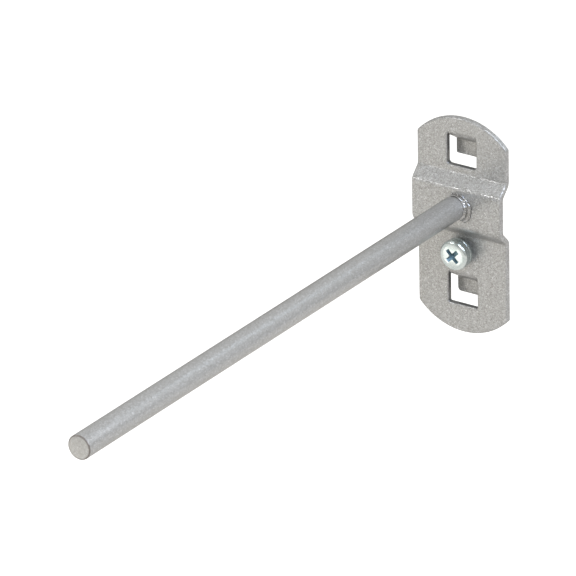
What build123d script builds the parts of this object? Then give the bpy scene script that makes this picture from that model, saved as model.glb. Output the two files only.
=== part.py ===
from build123d import *
import os
from math import cos, radians, sin, tan

# Straight peg holder for a tool panel with square holes.
# A pressed sheet plate hangs in two panel holes by its lanced hooks. A round bar is welded into the
# plate's bump, and a locking screw under it jacks the hooks tight against the back of the panel.
#
# Millimetres. The origin is the middle of the plate's height on the panel's front surface.
# +X is to the right, +Y goes into the panel, the peg runs along -Y, and +Z is up.

# Plate blank
sheet = 1.5                      # thickness of the steel
plate_width = 26.4
side_height = 46.7               # straight part of each side, between the round ends
end_rise = 5.95                  # height of the arc at each end
shoulder_round = 0.5             # where a side meets its arc
front_round = 0.4                # edge that the press rolled over, with its paint
back_break = 0.15                # burr side of the blank

# Bump, a hat as wide as the plate, pressed forwards between two joggles
bump_set = 2.8                   # how far it stands in front of the flats
bump_low = -0.55                 # middle of the lower joggle
bump_high = 12.55                # middle of the upper joggle
joggle_angle = 45.0              # slope to the plate
joggle_bend = 1.0                # inside radius

# Hooks, lanced on three sides and joggled backwards at the top of their windows
panel_pitch = 38.0               # from one hole of the panel to the next
hook_pair_rise = 6.4             # middle of the two bend lines, above the plate's middle
hook_width = 8.1
hook_drop = 7.7                  # from a hook's bend line down to its tip
hook_gap = 2.5                   # room for the panel between plate and hook
hook_angle = 58.0                # slope of the joggle to the plate
hook_bend = 0.5                  # inside radius
hook_root = 1.5                  # length above the bend line that is still part of the flat
hook_edge_break = 0.15
upper_hook_corner = 0.4
lower_hook_corner = 1.0

# Windows that the hooks leave
window_drop = 9.3                # from the bend line down to the sill
window_side_gap = 0.25           # beside the hook
window_top_corner = 1.8
upper_sill_corner = 0.9
lower_sill_corner = 0.35

# Peg
peg_diameter = 6.4
peg_reach = 165.0                # from the front of the flats to the tip
peg_rise = 6.3                   # above the plate's middle
peg_tip_round = 0.35
bevel_length = 1.5               # weld preparation round the foot of the bar
bevel_depth = 0.6
spigot_stand = 1.0               # the turned spigot stands out behind the bump
spigot_gap = 0.05                # all round the spigot in its hole
spigot_break = 0.3

# Weld, one run laid clockwise over the bar, seen from the tip, thin at first and then fat
weld_start = 116.0               # degrees anticlockwise from +X, seen from the tip
weld_end = -64.0
weld_stations = 7
weld_leg_start = 0.75            # spread on the plate, from the bar's side
weld_leg_end = 1.35
weld_climb_start = 0.55          # rise along the bar, from the plate
weld_climb_end = 1.4
weld_crown = 0.12                # bulge of the bead, as a share of its width
weld_root = 0.3                  # extra depth that the bar and the plate trim off again

# Locking screw
screw_diameter = 4.0
screw_length = 5.0               # under the head
screw_drop = 6.65                # below the plate's middle
thread_gap = 0.05                # all round the screw in its tapped hole
tip_break = 0.4
head_diameter = 8.0
head_height = 2.5
crown_rise = 0.4                 # middle of the crown above the head's rim
head_round = 0.8
recess_depth = 2.0
recess_turn = 45.0               # turn of the cross from upright
recess_span = 4.5                # across two wings, at the mouth
recess_wing = 1.05
recess_core = 1.15
recess_floor_span = 1.7
recess_floor_wing = 0.75
recess_floor_core = 0.62

# Washer under the head
washer_diameter = 7.9
washer_thickness = 0.8
washer_gap = 0.15                # all round the screw
washer_break = 0.15
washer_stand = 1.45              # from the plate to the washer, with the screw as drawn

# Levels along Y
flat_front = -sheet
bump_back = -bump_set
bump_front = bump_back - sheet
peg_tip = flat_front - peg_reach
bevel_start = bump_front - bevel_length
spigot_end = bump_back + spigot_stand
washer_back = flat_front - washer_stand
head_seat = washer_back - washer_thickness

# Levels along Z
shoulder = side_height / 2
end_top = shoulder + end_rise
upper_bend_line = hook_pair_rise + panel_pitch / 2
lower_bend_line = hook_pair_rise - panel_pitch / 2

peg_radius = peg_diameter / 2
spigot_radius = peg_radius - bevel_depth


def bent_strip(middle_line, inside_radius, width):
    """Sheet bent along a line of (y, z) points through the middle of its thickness."""
    middle = FilletPolyline(*middle_line, radius=inside_radius + sheet / 2)
    section = Plane.YZ * trace(middle, line_width=sheet)
    return extrude(section, amount=width / 2, both=True)


def punch(outline):
    """Cutter through the whole depth of the plate and its bump, from a flat (x, z) outline."""
    depth = 2 * (bump_set + sheet)
    return extrude(Plane.XZ * outline, amount=depth, both=True)


def rim(body, facing):
    """Cut edges of the sheet on its front (facing -1) or on its back (facing 1)."""
    skin = body.faces().filter_by(lambda face: face.normal_at().Y * facing > 0.3)
    cut = body.faces().filter_by(lambda face: abs(face.normal_at().Y) < 0.2)
    cut_edges = cut.edges()
    return [edge for edge in skin.edges() if edge in cut_edges]


def plate_outline():
    """Two straight sides and an arc at each end."""
    half = plate_width / 2
    top = ThreePointArc((-half, shoulder), (0, end_top), (half, shoulder))
    right = Line((half, shoulder), (half, -shoulder))
    bottom = ThreePointArc((half, -shoulder), (0, -end_top), (-half, -shoulder))
    left = Line((-half, -shoulder), (-half, shoulder))
    face = make_face([top, right, bottom, left])
    return fillet(face.vertices(), shoulder_round)


def window(bend_line, sill_corner):
    """Opening that a hook leaves, its top on the hook's bend line."""
    width = hook_width + 2 * window_side_gap
    face = Pos(0, bend_line - window_drop / 2) * Rectangle(width, window_drop)
    face = fillet(face.vertices().group_by(Axis.Y)[-1], window_top_corner)
    return fillet(face.vertices().group_by(Axis.Y)[0], sill_corner)


def hook_root_outline(bend_line):
    """Flat strip of the plate that a hook hangs from."""
    return Pos(0, bend_line + hook_root / 2) * Rectangle(hook_width, hook_root)


def hook(bend_line, tip_corner):
    """Tongue that leaves the sheet at its bend line, steps backwards and points down."""
    setback = (hook_bend + sheet / 2) * tan(radians(hook_angle / 2))
    upper_bend = bend_line - setback
    lower_bend = upper_bend - (hook_gap + sheet) / tan(radians(hook_angle))
    tongue = bent_strip(
        [
            (flat_front / 2, bend_line + hook_root),
            (flat_front / 2, upper_bend),
            (hook_gap + sheet / 2, lower_bend),
            (hook_gap + sheet / 2, bend_line - hook_drop),
        ],
        hook_bend,
        hook_width,
    )
    tongue = fillet(tongue.edges().filter_by(Axis.Y).group_by(Axis.Z)[0], tip_corner)
    tongue = chamfer(rim(tongue, -1), hook_edge_break)
    tongue = split(tongue, Plane.XY.offset(bend_line), keep=Keep.BOTTOM)
    return tongue + extrude(Plane.XZ * hook_root_outline(bend_line), amount=sheet)


def back_plate():
    """Pressed plate with its bump, windows, hooks, peg hole and tapped hole."""
    slope = bump_set / tan(radians(joggle_angle)) / 2
    flat = flat_front / 2
    bump = flat - bump_set
    plate = bent_strip(
        [
            (flat, -end_top),
            (flat, bump_low - slope),
            (bump, bump_low + slope),
            (bump, bump_high - slope),
            (flat, bump_high + slope),
            (flat, end_top),
        ],
        joggle_bend,
        plate_width,
    )
    plate &= punch(plate_outline())
    plate -= punch(window(upper_bend_line, upper_sill_corner))
    plate -= punch(window(lower_bend_line, lower_sill_corner))
    plate = fillet(rim(plate, -1), front_round)
    plate = chamfer(rim(plate, 1), back_break)
    for bend_line, tip_corner in (
        (upper_bend_line, upper_hook_corner),
        (lower_bend_line, lower_hook_corner),
    ):
        plate -= punch(hook_root_outline(bend_line))
        plate += hook(bend_line, tip_corner)
    plate -= punch(Pos(0, peg_rise) * Circle(spigot_radius + spigot_gap))
    plate -= punch(Pos(0, -screw_drop) * Circle(screw_diameter / 2))
    return plate


def peg_rod():
    """Bar cut flat at the tip, and turned down to a bevel and a spigot where it enters the plate."""
    tip_corner = (peg_radius, peg_tip)
    tail_corner = (spigot_radius, spigot_end)
    outline = Polyline(
        (0, peg_tip),
        tip_corner,
        (peg_radius, bevel_start),
        (spigot_radius, bump_front),
        tail_corner,
        (0, spigot_end),
        close=True,
    )
    section = make_face(outline)
    section = fillet(section.vertices().sort_by_distance(tip_corner)[0], peg_tip_round)
    section = chamfer(section.vertices().sort_by_distance(tail_corner)[0], spigot_break)
    return Pos(0, 0, peg_rise) * revolve(section, Axis.Y)


def weld_section(leg, climb):
    """Section across the run, with x outwards from the bar's axis and y along the bar."""
    bevel_share = max(0, 1 - climb / bevel_length)
    toe_on_plate = Vector(peg_radius + leg, bump_front)
    toe_on_bar = Vector(peg_radius - bevel_depth * bevel_share, bump_front - climb)
    chord = toe_on_bar - toe_on_plate
    outwards = Vector(-chord.Y, chord.X) * weld_crown
    crown = ThreePointArc(toe_on_plate, (toe_on_plate + toe_on_bar) / 2 + outwards, toe_on_bar)
    inside = spigot_radius - weld_root
    behind = bump_front + weld_root
    root = Polyline(
        toe_on_bar,
        (inside, bump_front - climb),
        (inside, behind),
        (peg_radius + leg, behind),
        toe_on_plate,
    )
    return make_face([crown, root])


def weld_bead():
    """Fillet weld that fills the bevel and swells towards the end of the run."""
    sections = []
    for station in range(weld_stations):
        share = station / (weld_stations - 1)
        swell = share * share * (3 - 2 * share)
        leg = weld_leg_start + (weld_leg_end - weld_leg_start) * swell
        climb = weld_climb_start + (weld_climb_end - weld_climb_start) * swell
        turn = weld_start + (weld_end - weld_start) * share
        sections.append(Pos(0, 0, peg_rise) * Rot(0, -turn, 0) * weld_section(leg, climb))
    bead = loft(sections)
    bead -= peg_rod()
    side = 4 * peg_diameter
    plate_side = Box(side, side, side, align=(Align.CENTER, Align.MIN, Align.CENTER))
    return bead - Pos(0, bump_front, peg_rise) * plate_side


def cross_section(span, wing, core):
    """Driver recess across the screw's axis: two crossed wings on a round core."""
    cross = Rectangle(span, wing) + Rectangle(wing, span) + Circle(core)
    return Rot(0, 0, recess_turn) * cross


def on_screw_axis(piece, level):
    """Turn a piece that was made along +Z so that it faces the user, at a level along Y."""
    return Pos(0, level, -screw_drop) * Rot(90, 0, 0) * piece


def locking_screw():
    """Pan-head screw. The shank is plain where the real one has its thread."""
    shank = screw_diameter / 2 - thread_gap
    head_radius = head_diameter / 2
    rim_height = head_height - crown_rise
    outline = Polyline(
        (head_radius, rim_height),
        (head_radius, 0),
        (shank, 0),
        (shank, tip_break - screw_length),
        (shank - tip_break, -screw_length),
        (0, -screw_length),
        (0, head_height),
    )
    crown = TangentArc((0, head_height), (head_radius, rim_height), tangent=(1, 0))
    section = make_face([outline, crown])
    section = fillet(section.vertices().sort_by_distance((head_radius, rim_height))[0], head_round)
    screw = revolve(Plane.XZ * section, Axis.Z)
    mouth = cross_section(recess_span, recess_wing, recess_core)
    floor = cross_section(recess_floor_span, recess_floor_wing, recess_floor_core)
    floor_level = head_height - recess_depth
    screw -= loft([Pos(0, 0, head_height) * mouth, Pos(0, 0, floor_level) * floor], ruled=True)
    return on_screw_axis(screw, head_seat)


def screw_washer():
    """Small plain washer that the screw carries under its head."""
    disc = Cylinder(washer_diameter / 2, washer_thickness)
    disc = chamfer(disc.edges().filter_by(GeomType.CIRCLE), washer_break)
    disc -= Cylinder(screw_diameter / 2 + washer_gap, 2 * washer_thickness)
    return on_screw_axis(disc, (head_seat + washer_back) / 2)


os.makedirs("parts", exist_ok=True)
for make in (back_plate, peg_rod, weld_bead, locking_screw, screw_washer):
    piece = make()
    export_step(piece, f"parts/{make.__name__}.step")
    print(make.__name__, "solids", len(piece.solids()), "volume", round(piece.volume, 2))
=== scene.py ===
# %% [markdown]
# # A straight peg holder for a tool panel
# The object is a welded steel part: a pressed plate with two hooks, a round bar, the weld that joins them,
# and a locking screw with its washer. The CAD model is loaded first as a fixed frame, in metres, and each
# piece made here goes exactly where the CAD has it.

# %% Load the CAD model
import math

import bpy
from mathutils import Matrix, Vector, noise


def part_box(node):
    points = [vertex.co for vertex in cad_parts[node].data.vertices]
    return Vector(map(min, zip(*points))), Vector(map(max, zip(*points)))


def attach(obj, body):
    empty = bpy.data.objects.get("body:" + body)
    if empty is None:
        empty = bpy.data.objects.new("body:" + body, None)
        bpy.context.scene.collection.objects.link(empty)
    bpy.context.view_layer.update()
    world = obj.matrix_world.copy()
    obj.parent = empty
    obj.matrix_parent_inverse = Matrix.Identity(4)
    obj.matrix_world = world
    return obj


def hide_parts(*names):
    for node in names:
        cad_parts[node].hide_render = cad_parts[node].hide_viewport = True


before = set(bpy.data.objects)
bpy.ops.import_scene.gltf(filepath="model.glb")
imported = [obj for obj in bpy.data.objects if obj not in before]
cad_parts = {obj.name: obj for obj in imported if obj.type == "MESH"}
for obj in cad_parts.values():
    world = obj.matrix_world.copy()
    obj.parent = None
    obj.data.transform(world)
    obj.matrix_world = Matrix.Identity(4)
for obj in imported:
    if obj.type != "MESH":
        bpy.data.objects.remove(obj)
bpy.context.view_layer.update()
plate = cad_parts["back_plate"]
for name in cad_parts:
    low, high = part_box(name)
    print(name, [round(1000 * edge, 2) for edge in (*low, *high)])

# %% [markdown]
# ## The camera
# A long lens from two metres away gives the flat, nearly parallel view of a catalogue picture. The camera
# could be moved by eye until the picture looks right. Here three angles and the place of the model's origin
# in the picture fix it completely. The part's own +Y points into the panel, so a camera in front of it
# stands at -Y, turned a little to the right and looking down.

# %% Camera
MM = 0.001
PICTURE = 576                    # pixels across the picture
SENSOR = 36.0                    # width of the sensor, in mm
FOCAL_PIXELS = 7682.03           # focal length, in pixels of the picture
CAMERA_TURN = 34.579             # degrees to the right of straight in front
CAMERA_HEIGHT = 24.727           # degrees above level
CAMERA_ROLL = -1.156             # degrees
CAMERA_DISTANCE = 1926 * MM
ORIGIN_PIXEL = (464.752, 223.273)


def place_camera():
    data = bpy.data.cameras.new("camera")
    data.sensor_width = SENSOR
    data.lens = FOCAL_PIXELS * SENSOR / PICTURE
    camera = bpy.data.objects.new("camera", data)
    bpy.context.collection.objects.link(camera)
    turn = Matrix.Rotation(math.radians(CAMERA_TURN), 4, "Z")
    tilt = Matrix.Rotation(math.radians(90 - CAMERA_HEIGHT), 4, "X")
    roll = Matrix.Rotation(math.radians(CAMERA_ROLL), 4, "Z")
    per_pixel = CAMERA_DISTANCE / FOCAL_PIXELS
    middle = (PICTURE - 1) / 2
    right = (ORIGIN_PIXEL[0] - middle) * per_pixel
    up = (middle - ORIGIN_PIXEL[1]) * per_pixel
    shift = Matrix.Translation((-right, -up, CAMERA_DISTANCE))
    camera.matrix_world = turn @ tilt @ roll @ shift
    bpy.context.scene.camera = camera
    return camera


camera = place_camera()
print("lens", round(camera.data.lens, 1), "mm, camera at", [round(v, 3) for v in camera.location])

# %% [markdown]
# ## Colours and nodes
# Colours are written as the hex codes that a paint chart or a web page would give. Blender's shaders work
# with linear light, so one function turns a code into linear numbers. A second one adds a node to a
# material and fills in its sockets, which keeps each recipe short.

# %% Helpers for the finishes


def srgb(code):
    """Linear colour with alpha, by the standard curve, from a hex code such as 'b4b3ae'."""
    levels = [int(code[i:i + 2], 16) / 255 for i in (0, 2, 4)]
    linear = [v / 12.92 if v <= 0.04045 else ((v + 0.055) / 1.055) ** 2.4 for v in levels]
    return (*linear, 1.0)


def add_node(tree, kind, inputs, stops=(), **settings):
    """New node. An input is a number, a colour or another node's output; stops are for a colour ramp."""
    node = tree.nodes.new(kind)
    for key, value in settings.items():
        setattr(node, key, value)
    for key, value in inputs.items():
        if isinstance(value, bpy.types.NodeSocket):
            tree.links.new(value, node.inputs[key])
        else:
            node.inputs[key].default_value = value
    if stops:
        elements = node.color_ramp.elements
        while len(elements) < len(stops):
            elements.new(1.0)
        for element, (position, code) in zip(elements, stops):
            element.position = position
            element.color = srgb(code)
    return node


def new_material(name):
    """Empty material, its node tree and its output node."""
    material = bpy.data.materials.new(name)
    material.use_nodes = True
    tree = material.node_tree
    tree.nodes.clear()
    return material, tree, tree.nodes.new("ShaderNodeOutputMaterial")


print("grey b4b3ae is", [round(v, 3) for v in srgb("b4b3ae")])

# %% [markdown]
# ## The room
# The picture is a plain studio shot on white. White walls would do, but they would hide the part in other
# views and take long to light, so the room is a world shader. The camera sees it pure white. Shiny surfaces
# see it too, a little dimmer at the level of the horizon, which draws the soft dark line along the bar.
# Everything else gets its even light.

# %% White room
ROOM_TINT = "fffcf6"
ROOM_LIGHT = 0.60                # what lights the part from all round
SHEEN_HORIZON = 0.50             # what the metal sees at eye level
SHEEN_ABOVE = 0.645              # what the metal sees higher up
SHEEN_RISE = (0.1, 0.5)          # heights between which it brightens; straight up is 1


def ray_kinds(tree):
    """Two sockets: 1 for what the camera sees, and 1 for what a surface mirrors."""
    path = tree.nodes.new("ShaderNodeLightPath")
    seen = add_node(tree, "ShaderNodeMath", {
        0: path.outputs["Is Camera Ray"], 1: path.outputs["Is Transmission Ray"],
    }, operation="MAXIMUM")
    return seen.outputs[0], path.outputs["Is Glossy Ray"]


def light_world():
    world = bpy.data.worlds.new("white_room")
    bpy.context.scene.world = world
    world.use_nodes = True
    tree = world.node_tree
    tree.nodes.clear()
    out = tree.nodes.new("ShaderNodeOutputWorld")
    place = tree.nodes.new("ShaderNodeTexCoord")
    height = add_node(tree, "ShaderNodeSeparateXYZ", {0: place.outputs["Generated"]})
    sheen = add_node(tree, "ShaderNodeMapRange", {
        "Value": height.outputs["Z"],
        "From Min": SHEEN_RISE[0],
        "From Max": SHEEN_RISE[1],
        "To Min": SHEEN_HORIZON,
        "To Max": SHEEN_ABOVE,
    }, interpolation_type="SMOOTHSTEP")
    room = add_node(tree, "ShaderNodeBackground", {"Color": srgb(ROOM_TINT), "Strength": ROOM_LIGHT})
    mirrored = add_node(tree, "ShaderNodeBackground", {
        "Color": srgb(ROOM_TINT), "Strength": sheen.outputs[0],
    })
    white = add_node(tree, "ShaderNodeBackground", {"Color": srgb("ffffff"), "Strength": 1.0})
    seen, glossy = ray_kinds(tree)
    unseen = add_node(tree, "ShaderNodeMixShader", {0: glossy, 1: room.outputs[0], 2: mirrored.outputs[0]})
    mix = add_node(tree, "ShaderNodeMixShader", {0: seen, 1: unseen.outputs[0], 2: white.outputs[0]})
    tree.links.new(mix.outputs[0], out.inputs["Surface"])


light_world()
bpy.context.scene.view_settings.view_transform = "Standard"
print("room light", ROOM_LIGHT, "and sheen", SHEEN_HORIZON, "to", SHEEN_ABOVE)

# %% [markdown]
# ## Lamps
# Each lamp is a soft square that looks at the plate. A lamp shows in the metal where a surface mirrors it
# towards the camera, so its direction is worked out from the surface and not tried by eye. The front lamp
# is what the plate's flats mirror, the fold lamp what its upper folds mirror, and the left lamp what the
# forms that face halfway up mirror. The back lamp draws the bright line along the bar. The top, sky and
# right lamps are no mirror images: they light the upper and the right side of the round forms, the last two
# with a cool cast.

# %% Lamps
LAMPS = (                        # name, direction, distance and width in metres, watts, colour
    ("front_lamp", (-0.43, -0.75, -0.51), 0.50, 0.27, 0.20, "fffaee"),
    ("fold_lamp", (-0.515, -0.825, 0.234), 0.90, 0.09, 0.85, "ffffff"),
    ("left_lamp", (-0.515, -0.418, 0.748), 0.90, 0.40, 0.40, "ffffff"),
    ("top_lamp", (0.25, -0.35, 0.90), 0.90, 0.25, 1.3, "ffffff"),
    ("sky_lamp", (0.45, -0.50, 0.72), 0.90, 0.40, 2.6, "cfe0ff"),
    ("right_lamp", (0.80, 0.10, 0.60), 0.90, 0.30, 3.3, "edf3ff"),
    ("back_lamp", (0.31, 0.75, 0.585), 0.90, 0.30, 0.32, "d8ecff"),
)


def soft_lamp(name, direction, distance, size, watts, colour):
    data = bpy.data.lights.new(name, "AREA")
    data.size = size
    data.energy = watts
    data.color = srgb(colour)[:3]
    lamp = bpy.data.objects.new(name, data)
    bpy.context.collection.objects.link(lamp)
    way = Vector(direction).normalized()
    lamp.location = way * distance
    lamp.rotation_mode = "QUATERNION"
    lamp.rotation_quaternion = way.to_track_quat("Z", "Y")
    return lamp


for row in LAMPS:
    lamp = soft_lamp(*row)
    print(lamp.name, "at", [round(v, 3) for v in lamp.location])

# %% [markdown]
# ## The table
# A white card lies well under the part. It could be lit until it is white, but that light would fall on the
# part as well. So the camera sees the card with a glow of its own added, which keeps its shadow. Metal sees
# another glow there, which darkens towards the far left corner, as a studio's paper does where it ends.

# %% Table
TABLE_WIDE = 8.0
TABLE_DROP = 260 * MM
TABLE_GLOW = 0.55
TABLE_SHEEN = 0.95               # what the metal sees of the table
TABLE_SHADE = 0.30               # what it sees towards the far left corner
CORNER_WAY = (-0.57, 0.82, 0.0)  # direction of that corner
CORNER_FADE = (0.30, 0.5)        # metres that way, from the first change to the full one


def make_table():
    bpy.ops.object.select_all(action="DESELECT")
    bpy.ops.mesh.primitive_plane_add(size=TABLE_WIDE, location=(0, 0, -TABLE_DROP))
    table = bpy.context.object
    table.name = "table"
    material, tree, out = new_material("white_table")
    card = add_node(tree, "ShaderNodeBsdfDiffuse", {"Color": srgb("f0f0ee")})
    glow = add_node(tree, "ShaderNodeEmission", {"Color": srgb("ffffff"), "Strength": TABLE_GLOW})
    place = tree.nodes.new("ShaderNodeTexCoord")
    far = add_node(tree, "ShaderNodeVectorMath", {
        0: place.outputs["Object"], 1: CORNER_WAY,
    }, operation="DOT_PRODUCT")
    shade = add_node(tree, "ShaderNodeMapRange", {
        "Value": far.outputs["Value"],
        "From Min": CORNER_FADE[0],
        "From Max": CORNER_FADE[1],
        "To Min": TABLE_SHEEN,
        "To Max": TABLE_SHADE,
    }, interpolation_type="SMOOTHSTEP")
    sheen = add_node(tree, "ShaderNodeEmission", {"Color": srgb("fffaf4"), "Strength": shade.outputs[0]})
    lit = add_node(tree, "ShaderNodeAddShader", {0: card.outputs[0], 1: glow.outputs[0]})
    seen, glossy = ray_kinds(tree)
    unseen = add_node(tree, "ShaderNodeMixShader", {0: glossy, 1: card.outputs[0], 2: sheen.outputs[0]})
    mix = add_node(tree, "ShaderNodeMixShader", {0: seen, 1: unseen.outputs[0], 2: lit.outputs[0]})
    tree.links.new(mix.outputs[0], out.inputs["Surface"])
    table.data.materials.append(material)


make_table()
print("table", TABLE_DROP, "m under the middle of the plate")

# %% [markdown]
# ## Silver coat
# The plate, the bar and the weld carry one coat of silver powder paint: tiny metal flakes that lie almost
# flat in a satin film, each a little turned. The eye sees a soft grey metal with a fine sparkle in it. One
# even grey with a noise bump would look like plain paint. Here a cell pattern gives every flake its own
# turn and its own brightness, a second one paints a few white glints where a flake would catch the light,
# and a wide noise gives the faint clouds of a sprayed coat. The film over the flakes has a steadier normal
# of its own. Real flakes are about 0.03 mm, too fine for the picture, so they are drawn larger.

# %% Silver flakes
FLAKES_PER_METRE = 6000.0        # cells of 0.17 mm
GLINTS_PER_METRE = 4200.0        # cells of 0.24 mm, for the painted glints
CLOUDS_PER_METRE = 1500.0        # clouds of about 0.7 mm


def leaned(tree, flakes, lean):
    """Surface normal, turned a little by each flake's own direction."""
    face = tree.nodes.new("ShaderNodeNewGeometry")
    side = add_node(tree, "ShaderNodeVectorMath", {
        0: flakes.outputs["Color"], 1: (0.5, 0.5, 0.5),
    }, operation="SUBTRACT")
    turn = add_node(tree, "ShaderNodeVectorMath", {
        0: side.outputs[0], 1: (lean, lean, lean), 2: face.outputs["Normal"],
    }, operation="MULTIPLY_ADD")
    return add_node(tree, "ShaderNodeVectorMath", {0: turn.outputs[0]}, operation="NORMALIZE").outputs[0]


def flake_colour(tree, place, flakes):
    """Grey clouds, flakes of their own brightness, and a few painted white glints."""
    clouds = add_node(tree, "ShaderNodeTexNoise", {
        "Vector": place, "Scale": CLOUDS_PER_METRE, "Detail": 4.0, "Roughness": 0.75,
    })
    tint = add_node(tree, "ShaderNodeValToRGB", {
        "Fac": clouds.outputs["Fac"],
    }, stops=((0.3, "a5a5a1"), (0.5, "b5b5b3"), (0.7, "c6c7c7")))
    flake = add_node(tree, "ShaderNodeSeparateColor", {0: flakes.outputs["Color"]})
    shine = add_node(tree, "ShaderNodeValToRGB", {
        "Fac": flake.outputs[0],
    }, stops=((0.0, "cccac8"), (0.5, "ececec"), (0.9, "ffffff")))
    grey = add_node(tree, "ShaderNodeMixRGB", {
        0: 1.0, 1: tint.outputs["Color"], 2: shine.outputs["Color"],
    }, blend_type="MULTIPLY")
    # painted glints: a few cells turn towards white, as flakes that catch the light
    glint_cells = add_node(tree, "ShaderNodeTexVoronoi", {"Vector": place, "Scale": GLINTS_PER_METRE})
    glint = add_node(tree, "ShaderNodeSeparateColor", {0: glint_cells.outputs["Color"]})
    glint_share = add_node(tree, "ShaderNodeValToRGB", {
        "Fac": glint.outputs[1],
    }, stops=((0.86, "000000"), (0.95, "909090")))
    return add_node(tree, "ShaderNodeMixRGB", {
        0: glint_share.outputs["Color"], 1: grey.outputs[0], 2: srgb("ffffff"),
    }).outputs[0]


def silver_coat(name, lean, metal, roughness, film, film_lean=0.1, shade=None, drawn=1.0):
    """Silver powder paint. A shade changes its colour by place, and drawn stretches its grain along Y."""
    material, tree, out = new_material(name)
    place = tree.nodes.new("ShaderNodeTexCoord").outputs["Object"]
    grain = add_node(tree, "ShaderNodeVectorMath", {
        0: place, 1: (1.0, drawn, 1.0),
    }, operation="MULTIPLY").outputs[0]
    flakes = add_node(tree, "ShaderNodeTexVoronoi", {"Vector": grain, "Scale": FLAKES_PER_METRE})
    colour = flake_colour(tree, grain, flakes)
    if shade:
        colour = shade(tree, place, colour)
    shader = add_node(tree, "ShaderNodeBsdfPrincipled", {
        "Base Color": colour,
        "Metallic": metal,
        "Roughness": roughness,
        "Specular IOR Level": 0.3,
        "Specular Tint": srgb("a0a0a0"),
        "Coat Weight": film,
        "Coat Roughness": 0.12,
        "Normal": leaned(tree, flakes, lean),
        "Coat Normal": leaned(tree, flakes, film_lean),
    })
    tree.links.new(shader.outputs[0], out.inputs["Surface"])
    return material


print("flakes of", round(1 / FLAKES_PER_METRE / MM, 2), "mm")

# %% [markdown]
# ## Coat on the plate
# The windows are sheared out of the sheet. Their cut edges and each hook just under its bend lie in shade,
# which is painted into the coat as a darker colour. Those faces could have a material of their own, but the
# line between two materials would be hard. Here the place and the normal of each point say how much shade
# is painted on it.

# %% Coat on the plate
HOOK_PITCH = 38 * MM
WINDOW_HALF = 4.4 * MM           # half a window's width, and a little more
WINDOW_MIDDLE = 20.75 * MM       # height of the upper window's middle
WINDOW_TALL = 4.75 * MM          # half its height
CUT_LEAN = (0.25, 0.7)           # the normal's share along Y, from a cut edge to the sheet's own face
# share of painted shade on the cut edges
CUT_PAINTED_SHADE = 0.65
HOOK_SHADE = 2.2 * MM            # how far down the hook the painted shade reaches
# share of painted shade under each hook's bend
HOOK_PAINTED_SHADE = 0.6
BACK_FADE = 0.1 * MM             # behind the sheet's back face, where the hook takes over from the edge


def painted_edge_shade(tree, place, colour):
    """Painted shade on the sheared edges inside the two windows, and on each hook just under its bend."""
    spot = add_node(tree, "ShaderNodeSeparateXYZ", {0: place})
    face = tree.nodes.new("ShaderNodeNewGeometry")
    way = add_node(tree, "ShaderNodeSeparateXYZ", {0: face.outputs["Normal"]})
    across = add_node(tree, "ShaderNodeMath", {0: spot.outputs["X"]}, operation="ABSOLUTE")
    inside = add_node(tree, "ShaderNodeMath", {0: across.outputs[0], 1: WINDOW_HALF}, operation="LESS_THAN")
    above = add_node(tree, "ShaderNodeMath", {0: spot.outputs["Z"], 1: WINDOW_MIDDLE}, operation="SUBTRACT")
    level = add_node(tree, "ShaderNodeMath", {
        0: above.outputs[0], 1: HOOK_PITCH / 2, 2: -HOOK_PITCH / 2,
    }, operation="WRAP")
    height = add_node(tree, "ShaderNodeMath", {0: level.outputs[0]}, operation="ABSOLUTE")
    tall = add_node(tree, "ShaderNodeMath", {0: height.outputs[0], 1: WINDOW_TALL}, operation="LESS_THAN")
    lean = add_node(tree, "ShaderNodeMath", {0: way.outputs["Y"]}, operation="ABSOLUTE")
    edge = add_node(tree, "ShaderNodeMapRange", {
        "Value": lean.outputs[0],
        "From Min": CUT_LEAN[0],
        "From Max": CUT_LEAN[1],
        "To Min": CUT_PAINTED_SHADE,
        "To Max": 0.0,
    })
    under = add_node(tree, "ShaderNodeMapRange", {
        "Value": level.outputs[0],
        "From Min": WINDOW_TALL - HOOK_SHADE,
        "From Max": WINDOW_TALL,
        "To Max": HOOK_PAINTED_SHADE,
    })
    behind = add_node(tree, "ShaderNodeMapRange", {
        "Value": spot.outputs["Y"], "From Min": 0.0, "From Max": BACK_FADE,
    })
    share = add_node(tree, "ShaderNodeMix", {
        "Factor": behind.outputs[0], "A": edge.outputs[0], "B": under.outputs[0],
    }).outputs["Result"]
    for part in (inside, tall):
        both = add_node(tree, "ShaderNodeMath", {0: share, 1: part.outputs[0]}, operation="MULTIPLY")
        share = both.outputs[0]
    # painted shade: the coat is mixed towards near black by that share
    return add_node(tree, "ShaderNodeMixRGB", {0: share, 1: colour, 2: srgb("2a2a28")}).outputs[0]


coat = silver_coat("silver_coat", lean=0.35, metal=0.5, roughness=0.36, film=0.6, shade=painted_edge_shade)
print(coat.name, len(coat.node_tree.nodes), "nodes")

# %% [markdown]
# ## Coat on the bar
# Drawn bar is smoother than pressed sheet, so the same coat looks calmer on it and runs along its length.
# The rim of its tip shows as a thin brown line. It could be a ring of its own, but here it is a change of
# colour that follows the distance from the bar's axis.

# %% Coat on the bar
PEG_RISE = 6.3 * MM              # height of the bar's axis
PEG_TIP = -166.5 * MM
BAR_CALM = 0.4                   # share of one even grey
TIP_LINE_RIM = (2.75 * MM, 2.95 * MM)  # distance from the axis, from where the brown line starts to where it is full
TIP_LINE_SHARE = 0.6
TIP_LINE_LENGTH = 0.3 * MM


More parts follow.
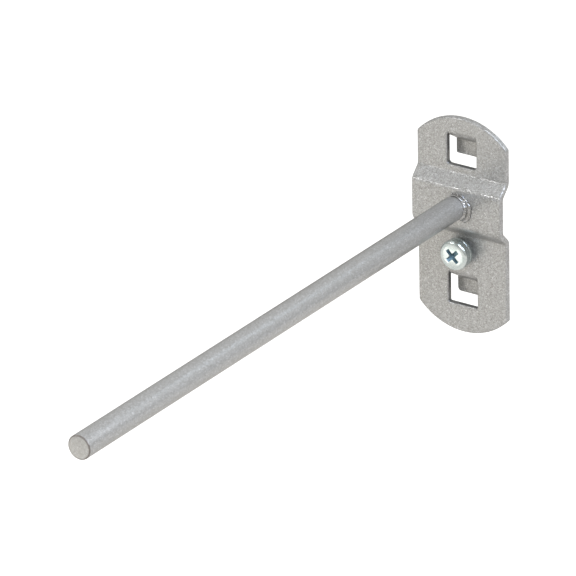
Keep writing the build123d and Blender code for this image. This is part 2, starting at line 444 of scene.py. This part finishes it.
def bar_shade(tree, place, colour):
    """A calmer coat on the bar, and a thin brown line round the rim of the tip."""
    calm = add_node(tree, "ShaderNodeMixRGB", {0: BAR_CALM, 1: colour, 2: srgb("b5b4b1")})
    axis = add_node(tree, "ShaderNodeVectorMath", {
        0: place, 1: (1.0, 0.0, 1.0), 2: (0.0, 0.0, -PEG_RISE),
    }, operation="MULTIPLY_ADD")
    reach = add_node(tree, "ShaderNodeVectorMath", {0: axis.outputs[0]}, operation="LENGTH")
    rim = add_node(tree, "ShaderNodeMapRange", {
        "Value": reach.outputs["Value"],
        "From Min": TIP_LINE_RIM[0],
        "From Max": TIP_LINE_RIM[1],
        "To Max": TIP_LINE_SHARE,
    })
    spot = add_node(tree, "ShaderNodeSeparateXYZ", {0: place})
    end = add_node(tree, "ShaderNodeMath", {
        0: spot.outputs["Y"], 1: PEG_TIP + TIP_LINE_LENGTH,
    }, operation="LESS_THAN")
    share = add_node(tree, "ShaderNodeMath", {0: rim.outputs[0], 1: end.outputs[0]}, operation="MULTIPLY")
    return add_node(tree, "ShaderNodeMixRGB", {
        0: share.outputs[0], 1: calm.outputs[0], 2: srgb("5a4c42"),
    }).outputs[0]


bar_coat = silver_coat(
    "silver_coat_on_bar", lean=0.25, metal=0.4, roughness=0.32, film=0.5, shade=bar_shade, drawn=0.7,
)
print(bar_coat.name, len(bar_coat.node_tree.nodes), "nodes")

# %% [markdown]
# ## Coat on the weld
# A weld is smooth, so the coat shines more on it than on the sheet. Shade is painted into its colour,
# darkest in its grooves and fading out on its ridges. Dark grooves could be painted by hand. The Pointiness
# of the surface finds them by itself, because the weld's mesh is fine enough, and the height over the plate
# gives a painted shadow, a dark line along the weld's foot.

# %% Coat on the weld
WELD_FOOT_SHADOW = (-4.65 * MM, -4.35 * MM)  # Y of the painted shadow along the foot, from its start to its full depth
FOOT_PAINTED_SHADOW = 0.6


def weld_painted_shade(tree, place, colour):
    """Painted shade in the weld's grooves, fading on its ridges, and a painted shadow along its foot."""
    face = tree.nodes.new("ShaderNodeNewGeometry")
    # painted shade from the surface's Pointiness: grooves darken, ridges keep the coat
    relief_shade = add_node(tree, "ShaderNodeValToRGB", {
        "Fac": face.outputs["Pointiness"],
    }, stops=((0.38, "505050"), (0.48, "d0d0d0"), (0.54, "ffffff")))
    shaped = add_node(tree, "ShaderNodeMixRGB", {
        0: 1.0, 1: colour, 2: relief_shade.outputs["Color"],
    }, blend_type="MULTIPLY")
    spot = add_node(tree, "ShaderNodeSeparateXYZ", {0: place})
    foot = add_node(tree, "ShaderNodeMapRange", {
        "Value": spot.outputs["Y"],
        "From Min": WELD_FOOT_SHADOW[0],
        "From Max": WELD_FOOT_SHADOW[1],
        "To Max": FOOT_PAINTED_SHADOW,
    })
    # painted shadow: a dark line along the weld's foot
    return add_node(tree, "ShaderNodeMixRGB", {
        0: foot.outputs[0], 1: shaped.outputs[0], 2: srgb("202020"),
    }).outputs[0]


weld_coat = silver_coat(
    "silver_coat_on_weld", lean=0.12, metal=0.75, roughness=0.2, film=1.0, film_lean=0.02, shade=weld_painted_shade,
)
print(weld_coat.name, len(weld_coat.node_tree.nodes), "nodes")

# %% [markdown]
# ## Zinc
# The screw and the washer are bright zinc with a faint blue-green cast and soft clouds from the plating
# bath, so the eye sees clear, cool metal. The recess of the screw is rougher, as the punch leaves it, and
# little light gets in, so shade is painted into it as a darker, bluer colour. It could be a second material
# on the recess's faces. One material that knows where the recess is keeps the edge soft.

# %% Zinc plating
SCREW_DROP = 6.65 * MM           # how far the screw's axis lies under the origin
CROWN_TOP = -6.25 * MM           # Y of the top of the screw's head
CROWN_FALL = 22.9                # metres of fall for each square metre of reach
RECESS_REACH = 2.5 * MM
RECESS_FADE = (0.03 * MM, 0.15 * MM)  # depth under the crown, from the first change to the full one
RECESS_END = -4.1 * MM           # Y just under its floor
ZINC_CLOUDS_PER_METRE = 900.0    # clouds of about 1 mm


def recess_share(tree, place):
    """1 inside the cross recess and 0 elsewhere."""
    axis = add_node(tree, "ShaderNodeVectorMath", {
        0: place, 1: (1.0, 0.0, 1.0), 2: (0.0, 0.0, SCREW_DROP),
    }, operation="MULTIPLY_ADD")
    reach = add_node(tree, "ShaderNodeVectorMath", {0: axis.outputs[0]}, operation="LENGTH")
    near = add_node(tree, "ShaderNodeMath", {
        0: reach.outputs["Value"], 1: RECESS_REACH,
    }, operation="LESS_THAN")
    spot = add_node(tree, "ShaderNodeSeparateXYZ", {0: place})
    square = add_node(tree, "ShaderNodeMath", {0: reach.outputs["Value"], 1: 2.0}, operation="POWER")
    level = add_node(tree, "ShaderNodeMath", {
        0: square.outputs[0], 1: -CROWN_FALL, 2: spot.outputs["Y"],
    }, operation="MULTIPLY_ADD")
    deep = add_node(tree, "ShaderNodeMapRange", {
        "Value": level.outputs[0],
        "From Min": CROWN_TOP + RECESS_FADE[0],
        "From Max": CROWN_TOP + RECESS_FADE[1],
    })
    above = add_node(tree, "ShaderNodeMath", {0: spot.outputs["Y"], 1: RECESS_END}, operation="LESS_THAN")
    head = add_node(tree, "ShaderNodeMath", {0: near.outputs[0], 1: above.outputs[0]}, operation="MULTIPLY")
    return add_node(tree, "ShaderNodeMath", {
        0: head.outputs[0], 1: deep.outputs[0],
    }, operation="MULTIPLY").outputs[0]


def zinc_plating():
    material, tree, out = new_material("zinc_plating")
    place = tree.nodes.new("ShaderNodeTexCoord").outputs["Object"]
    clouds = add_node(tree, "ShaderNodeTexNoise", {
        "Vector": place, "Scale": ZINC_CLOUDS_PER_METRE, "Detail": 3.0,
    })
    tint = add_node(tree, "ShaderNodeValToRGB", {
        "Fac": clouds.outputs["Fac"],
    }, stops=((0.35, "c8d4d5"), (0.65, "d6dfdf")))
    inside = recess_share(tree, place)
    # painted shade: the recess turns a darker, bluer grey
    colour = add_node(tree, "ShaderNodeMixRGB", {0: inside, 1: tint.outputs["Color"], 2: srgb("8ba7b1")})
    rough = add_node(tree, "ShaderNodeMapRange", {"Value": inside, "To Min": 0.2, "To Max": 0.5})
    metal = add_node(tree, "ShaderNodeMapRange", {"Value": inside, "To Min": 1.0, "To Max": 0.5})
    shader = add_node(tree, "ShaderNodeBsdfPrincipled", {
        "Base Color": colour.outputs[0],
        "Metallic": metal.outputs[0],
        "Roughness": rough.outputs[0],
    })
    tree.links.new(shader.outputs[0], out.inputs["Surface"])
    return material


zinc = zinc_plating()
print(zinc.name, len(zinc.node_tree.nodes), "nodes")

# %% [markdown]
# ## Turned pieces
# The bar, the screw and the washer are all round. Stacked cylinders would leave hard steps between them, so
# the pieces are made as on a lathe: half an outline is drawn point by point with extrude, and spin carries
# it once round the axis.

# %% A lathe
ROUND_STEPS = 96                 # flats round a turned piece, enough for a clean highlight
MERGE_GAP = 0.002 * MM


def turned(name, outline, height, steps=ROUND_STEPS):
    """Round piece about an axis along Y at a height. The outline's points are (radius, y)."""
    bpy.ops.object.select_all(action="DESELECT")
    radius, y = outline[0]
    bpy.ops.mesh.primitive_plane_add(size=MM, location=(radius, y, height))
    piece = bpy.context.object
    piece.name = name
    bpy.ops.object.transform_apply()
    bpy.ops.object.mode_set(mode="EDIT")
    bpy.ops.mesh.select_mode(type="VERT")
    bpy.ops.mesh.merge(type="CENTER")
    for next_radius, next_y in outline[1:]:
        step = (next_radius - radius, next_y - y, 0)
        bpy.ops.mesh.extrude_region_move(TRANSFORM_OT_translate={"value": step})
        radius, y = next_radius, next_y
    bpy.ops.mesh.select_all(action="SELECT")
    bpy.ops.mesh.spin(steps=steps, angle=2 * math.pi, center=(0, 0, height), axis=(0, 1, 0))
    bpy.ops.mesh.select_all(action="SELECT")
    bpy.ops.mesh.remove_doubles(threshold=MERGE_GAP)
    bpy.ops.mesh.normals_make_consistent(inside=False)
    bpy.ops.object.mode_set(mode="OBJECT")
    return piece


def corner_arc(centre, radius, start, end, count):
    """Points of a small round on an outline; the angles are in degrees."""
    points = []
    for i in range(count + 1):
        angle = math.radians(start + (end - start) * i / count)
        points.append((centre[0] + radius * math.cos(angle), centre[1] + radius * math.sin(angle)))
    return points


print("a turned piece has", ROUND_STEPS, "flats round it")

# %% [markdown]
# ## Handling a piece
# An operator acts on all that is selected, so a piece is picked on its own first. Smooth shading is kept
# off the real edges by an angle, and a finished piece gets its coat and the body that it moves with, while
# the CAD node that it stands for is hidden.

# %% Pick, smooth, finish and dress


def pick(piece):
    """Select one piece alone and make it the active one."""
    bpy.ops.object.select_all(action="DESELECT")
    piece.select_set(True)
    bpy.context.view_layer.objects.active = piece


def smooth(piece, angle=30):
    pick(piece)
    bpy.ops.object.shade_smooth_by_angle(angle=math.radians(angle))


def apply(piece, modifier):
    pick(piece)
    bpy.ops.object.modifier_apply(modifier=modifier.name)


def dress(piece, finish, body, node):
    """Give a new piece its finish and its body, and hide the CAD node that it stands for."""
    piece.data.materials.clear()
    piece.data.materials.append(finish)
    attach(piece, body)
    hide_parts(node)
    print(piece.name, len(piece.data.polygons), "faces")


print("pieces to dress:", [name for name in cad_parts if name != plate.name])

# %% [markdown]
# ## The bar
# A round bar, cut flat at the tip. Its foot is turned down to a bevel and a thin spigot that sits in the
# plate. The CAD bar has the same outline with fewer flats round it; this one has enough for a clean
# highlight.

# %% Bar
PEG_RADIUS = 3.2 * MM
TIP_ROUND = 0.35 * MM
BUMP_FRONT = -4.3 * MM
BEVEL_START = -5.8 * MM
SPIGOT_RADIUS = 2.6 * MM
SPIGOT_END = -1.8 * MM
SPIGOT_BREAK = 0.3 * MM


def make_bar():
    outline = [(0, PEG_TIP)]
    tip_centre = (PEG_RADIUS - TIP_ROUND, PEG_TIP + TIP_ROUND)
    outline += corner_arc(tip_centre, TIP_ROUND, -90, 0, 6)
    outline += [
        (PEG_RADIUS, BEVEL_START),
        (SPIGOT_RADIUS, BUMP_FRONT),
        (SPIGOT_RADIUS, SPIGOT_END - SPIGOT_BREAK),
        (SPIGOT_RADIUS - SPIGOT_BREAK, SPIGOT_END),
        (0, SPIGOT_END),
    ]
    bar = turned("peg_bar", outline, PEG_RISE)
    smooth(bar)
    dress(bar, bar_coat, "holder", "peg_rod")


make_bar()

# %% [markdown]
# ## The washer
# A small plain washer under the screw's head. It is stamped, so its edges are a little broken, and a flat
# ring with sharp edges would catch no light. Its outline is drawn as a closed loop, so the lathe gives it
# its hole.

# %% Washer
WASHER_FRONT = -3.75 * MM
WASHER_BACK = -2.95 * MM
WASHER_RADIUS = 3.95 * MM
WASHER_HOLE = 2.15 * MM
WASHER_ROUND = 0.15 * MM


def make_washer():
    r = WASHER_ROUND
    outline = [
        (WASHER_HOLE, WASHER_BACK - r),
        (WASHER_HOLE, WASHER_FRONT + r),
        (WASHER_HOLE + r, WASHER_FRONT),
    ]
    outline += corner_arc((WASHER_RADIUS - r, WASHER_FRONT + r), r, -90, 0, 4)
    outline += corner_arc((WASHER_RADIUS - r, WASHER_BACK - r), r, 0, 90, 4)
    outline += [(WASHER_HOLE + r, WASHER_BACK), (WASHER_HOLE, WASHER_BACK - r)]
    washer = turned("small_washer", outline, -SCREW_DROP)
    smooth(washer)
    dress(washer, zinc, "washer", "screw_washer")


make_washer()

# %% [markdown]
# ## The screw's head
# A pan-head machine screw, M4, pressed cold from wire. The head has a round shoulder and a crown that is a
# little domed, so it is turned from an outline of a seat, a shoulder and a shallow curve. The cross recess
# could be drawn into the mesh face by face. Cutting it with two tapered wedges is quicker and does what the
# punch of a screw factory does. A small bevel then rounds the edges that the cut leaves.

# %% Screw head
HEAD_RADIUS = 4.0 * MM
HEAD_SEAT = WASHER_FRONT
HEAD_ROUND = 0.8 * MM            # radius of the shoulder
SHOULDER_START = CROWN_TOP + 1.02 * MM
SHOULDER_END = -68               # degrees round the shoulder, where the crown begins
SEAT_ROUND = 0.15 * MM
CROWN_SHARES = (0.8, 0.6, 0.4, 0.2, 0.0)  # points of the crown, as shares of its radius
RECESS_DEPTH = 2.0 * MM
RECESS_SPAN = 4.5 * MM
RECESS_WING = 1.08 * MM          # width of one arm of the cross
SPAN_TAPER = 0.4                 # share of the span that is left at the floor
WING_TAPER = 0.7                 # share of the width that is left at the floor
RECESS_EDGE = 0.07 * MM
CUT_OVER = 0.5 * MM              # how far a wedge stands out of the head
THIN = 0.02 * MM


def turned_head():
    outline = [(0, HEAD_SEAT), (HEAD_RADIUS - SEAT_ROUND, HEAD_SEAT)]
    outline += corner_arc((HEAD_RADIUS - SEAT_ROUND, HEAD_SEAT - SEAT_ROUND), SEAT_ROUND, 90, 0, 3)
    outline += corner_arc((HEAD_RADIUS - HEAD_ROUND, SHOULDER_START), HEAD_ROUND, 0, SHOULDER_END, 8)
    crown_radius, crown_y = outline[-1]
    for share in CROWN_SHARES:
        outline.append((crown_radius * share, CROWN_TOP + (crown_y - CROWN_TOP) * share * share))
    return turned("pan_head_screw", outline, -SCREW_DROP)


def recess_wedge(turn):
    """One tapered blade of the punch, standing on the recess's floor and turned by an angle in degrees."""
    bpy.ops.object.select_all(action="DESELECT")
    bpy.ops.mesh.primitive_cube_add(size=1, location=(0, CROWN_TOP + RECESS_DEPTH, -SCREW_DROP))
    wedge = bpy.context.object
    wedge.scale = (RECESS_SPAN * SPAN_TAPER, THIN, RECESS_WING * WING_TAPER)
    bpy.ops.object.transform_apply()
    bpy.ops.object.mode_set(mode="EDIT")
    bpy.ops.mesh.select_mode(type="FACE")
    bpy.ops.mesh.select_all(action="DESELECT")
    bpy.ops.object.mode_set(mode="OBJECT")
    for face in wedge.data.polygons:
        face.select = face.normal.y < -0.9
    bpy.ops.object.mode_set(mode="EDIT")
    depth = RECESS_DEPTH + CUT_OVER
    bpy.ops.mesh.extrude_region_move(TRANSFORM_OT_translate={"value": (0, -depth, 0)})
    grow = [1 + (1 / taper - 1) * depth / RECESS_DEPTH for taper in (SPAN_TAPER, WING_TAPER)]
    bpy.ops.transform.resize(value=(grow[0], 1, grow[1]))
    bpy.ops.mesh.select_all(action="SELECT")
    bpy.ops.transform.rotate(value=math.radians(turn), orient_axis="Y", center_override=(0, 0, -SCREW_DROP))
    bpy.ops.mesh.normals_make_consistent(inside=False)
    bpy.ops.object.mode_set(mode="OBJECT")
    return wedge


def cut_with(piece, cutter):
    """Take a cutter's shape out of a piece, and throw the cutter away."""
    cut = piece.modifiers.new("cut", "BOOLEAN")
    cut.operation = "DIFFERENCE"
    cut.solver = "EXACT"
    cut.object = cutter
    apply(piece, cut)
    bpy.data.objects.remove(cutter)


def make_head():
    head = turned_head()
    for turn in (45, -45):
        cut_with(head, recess_wedge(turn))
    bevel = head.modifiers.new("edges", "BEVEL")
    bevel.width = RECESS_EDGE
    bevel.segments = 2
    bevel.limit_method = "ANGLE"
    bevel.angle_limit = math.radians(32)
    apply(head, bevel)
    smooth(head, 40)
    even = head.modifiers.new("even_normals", "WEIGHTED_NORMAL")
    even.keep_sharp = True
    apply(head, even)
    return head


head = make_head()
print(head.name, len(head.data.polygons), "faces with its recess")

# %% [markdown]
# ## The screw's thread
# The CAD shank is a plain cylinder, because a thread would jam in the physics. The real one has a rolled M4
# thread. Stacked rings would look alike from afar, but a thread runs uphill, so it is a true helix: a
# three-sided ridge carried up a thinner core by the Screw modifier, 0.7 mm a turn. Head, core and ridge
# then become one piece.

# %% Screw thread
CORE_RADIUS = 1.56 * MM
THREAD_CREST = 1.95 * MM
THREAD_PITCH = 0.7 * MM
THREAD_ROOT = 0.08 * MM          # how much larger the ridge is, so its root is sunk in the core
THREAD_STEPS = 48
SHANK_START = HEAD_SEAT - 0.1 * MM
RIDGE_START = SHANK_START + 0.3 * MM
SCREW_TIP = 1.25 * MM
TIP_BREAK = 0.3 * MM


def make_shank():
    shank = turned("shank", [
        (0, SHANK_START),
        (CORE_RADIUS, SHANK_START),
        (CORE_RADIUS, SCREW_TIP - TIP_BREAK),
        (CORE_RADIUS - TIP_BREAK, SCREW_TIP),
        (0, SCREW_TIP),
    ], -SCREW_DROP, THREAD_STEPS)
    smooth(shank)
    return shank


def make_thread():
    """Helical ridge from just under the head to the tip."""
    size = (THREAD_CREST - CORE_RADIUS) / 1.5 + THREAD_ROOT
    bpy.ops.object.select_all(action="DESELECT")
    bpy.ops.mesh.primitive_circle_add(
        vertices=3, radius=size, location=(THREAD_CREST - size, 0, 0), rotation=(0, 0, -math.pi / 2),
    )
    ridge = bpy.context.object
    bpy.ops.object.transform_apply()
    helix = ridge.modifiers.new("helix", "SCREW")
    helix.axis = "Y"
    helix.angle = 2 * math.pi
    helix.screw_offset = THREAD_PITCH
    helix.iterations = int((SCREW_TIP - SHANK_START) / THREAD_PITCH)
    helix.steps = THREAD_STEPS
    helix.render_steps = THREAD_STEPS
    apply(ridge, helix)
    bpy.ops.object.mode_set(mode="EDIT")
    bpy.ops.mesh.select_all(action="SELECT")
    bpy.ops.mesh.remove_doubles(threshold=MERGE_GAP)
    bpy.ops.mesh.fill_holes(sides=3)
    bpy.ops.mesh.normals_make_consistent(inside=False)
    bpy.ops.transform.translate(value=(0, RIDGE_START, -SCREW_DROP))
    bpy.ops.object.mode_set(mode="OBJECT")
    smooth(ridge)
    return ridge


def join_screw():
    shank = make_shank()
    ridge = make_thread()
    pick(head)
    shank.select_set(True)
    ridge.select_set(True)
    bpy.ops.object.join()
    dress(head, zinc, "screw", "locking_screw")


join_screw()

# %% [markdown]
# ## The weld
# One run of filler metal, laid clockwise over the bar: thin at its start on top, and fat at its end on the
# right. A bent tube would be far too even. A ball of many rings is drawn out along the joint in code
# instead, each vertex by its place along the run and round the bead, and then swollen, grooved and rippled
# like a sculpt. A table gives the size along the run, two ridges and a groove run along it, and each ripple
# is where the molten pool stopped.

# %% Weld run
WELD_SPREAD = (                  # angle along the run and size of the bead, in mm
    (118, 0.40), (110, 0.88), (98, 0.56), (80, 0.66), (62, 0.95), (48, 0.90), (36, 1.15),
    (15, 1.42), (-12, 1.52), (-38, 1.60), (-52, 1.55), (-62, 1.05), (-69, 0.40),
)
WELD_CORE = (3.05, -4.15)        # middle of the bead's section: radius from the bar's axis and y, in mm
WELD_BLUNT = 9                   # how blunt its two ends are; 2 would be a ball's
RIPPLE_STEP = 15.0               # degrees from one ripple to the next
RIPPLE_TRAIL = 0.12              # how far a ripple trails behind away from the bead's middle
RIPPLE_SIZE = 0.05
RIPPLE_LEVEL = 0.4               # taken off each ripple, so the bead stays about as large as without them
BEAD_MIDDLE = -45                # degrees round the section, as are the next three
RIDGES = (-82, -12)
RIDGE_WIDTH = 18
GROOVE = (-47, 14)               # place and width
RIDGE_SIZE = 0.16
GROOVE_SIZE = 0.18
GROOVE_DEEPER = (0.16, 60, 20)   # more depth, the angle along the run where it is, and its reach
LUMPS = ((1, 0.10), (3, 0.05))   # how fine and how large the uneven lumps are
LUMP_STEPS = (0.06, 0.025)       # noise units for each degree along the run and round the section


def along(table, angle):
    """Value of a table at an angle, with soft steps between its rows."""
    for (a0, v0), (a1, v1) in zip(table, table[1:]):
        if a1 <= angle <= a0:
            share = (a0 - angle) / (a0 - a1)
            return v0 + (v1 - v0) * share * share * (3 - 2 * share)
    return table[-1][1]


def hump(value, middle, width):
    return math.exp(-((value - middle) / width) ** 2)


def bead_size(share, section):
    """Radius of the bead in mm, at a share of the run and an angle round its section."""
    first, last = WELD_SPREAD[0][0], WELD_SPREAD[-1][0]
    angle = first + (last - first) * share
    wave = ((first - angle + RIPPLE_TRAIL * abs(section - BEAD_MIDDLE)) / RIPPLE_STEP) % 1.0
    more, deepest, over = GROOVE_DEEPER
    size = along(WELD_SPREAD, angle)
    size *= 1 + RIPPLE_SIZE * (wave * wave - RIPPLE_LEVEL)
    size *= 1 + sum(RIDGE_SIZE * hump(section, ridge, RIDGE_WIDTH) for ridge in RIDGES)
    size *= 1 - (GROOVE_SIZE + more * hump(angle, deepest, over)) * hump(section, *GROOVE)
    spot = Vector((angle * LUMP_STEPS[0], section * LUMP_STEPS[1], 0))
    size *= 1 + sum(large * noise.noise(spot * fine) for fine, large in LUMPS)
    size *= (1 - abs(2 * share - 1) ** WELD_BLUNT) ** 0.5
    return angle, size


def make_weld():
    bpy.ops.object.select_all(action="DESELECT")
    bpy.ops.mesh.primitive_uv_sphere_add(segments=72, ring_count=220, radius=1)
    weld = bpy.context.object
    weld.name = "weld_run"
    for vertex in weld.data.vertices:
        share = math.acos(max(-1, min(1, vertex.co.z))) / math.pi
        section = math.atan2(vertex.co.y, vertex.co.x)
        angle, size = bead_size(share, math.degrees(section))
        turn = math.radians(angle)
        radius = WELD_CORE[0] + size * math.cos(section)
        depth = WELD_CORE[1] + size * math.sin(section)
        vertex.co = (
            radius * MM * math.cos(turn),
            depth * MM,
            radius * MM * math.sin(turn) + PEG_RISE,
        )
    bpy.ops.object.mode_set(mode="EDIT")
    bpy.ops.mesh.select_all(action="SELECT")
    bpy.ops.mesh.normals_make_consistent(inside=False)
    bpy.ops.object.mode_set(mode="OBJECT")
    smooth(weld, 80)
    dress(weld, weld_coat, "holder", "weld_bead")


make_weld()

# %% [markdown]
# ## The plate
# The plate is one pressed sheet, and the CAD plate already has its folds, its windows, its hooks and its
# rounded rims. A second mesh could only differ from it, so it stays and gets its coat.

# %% Plate
plate.data.materials.clear()
plate.data.materials.append(coat)
print(plate.name, len(plate.data.polygons), "faces")
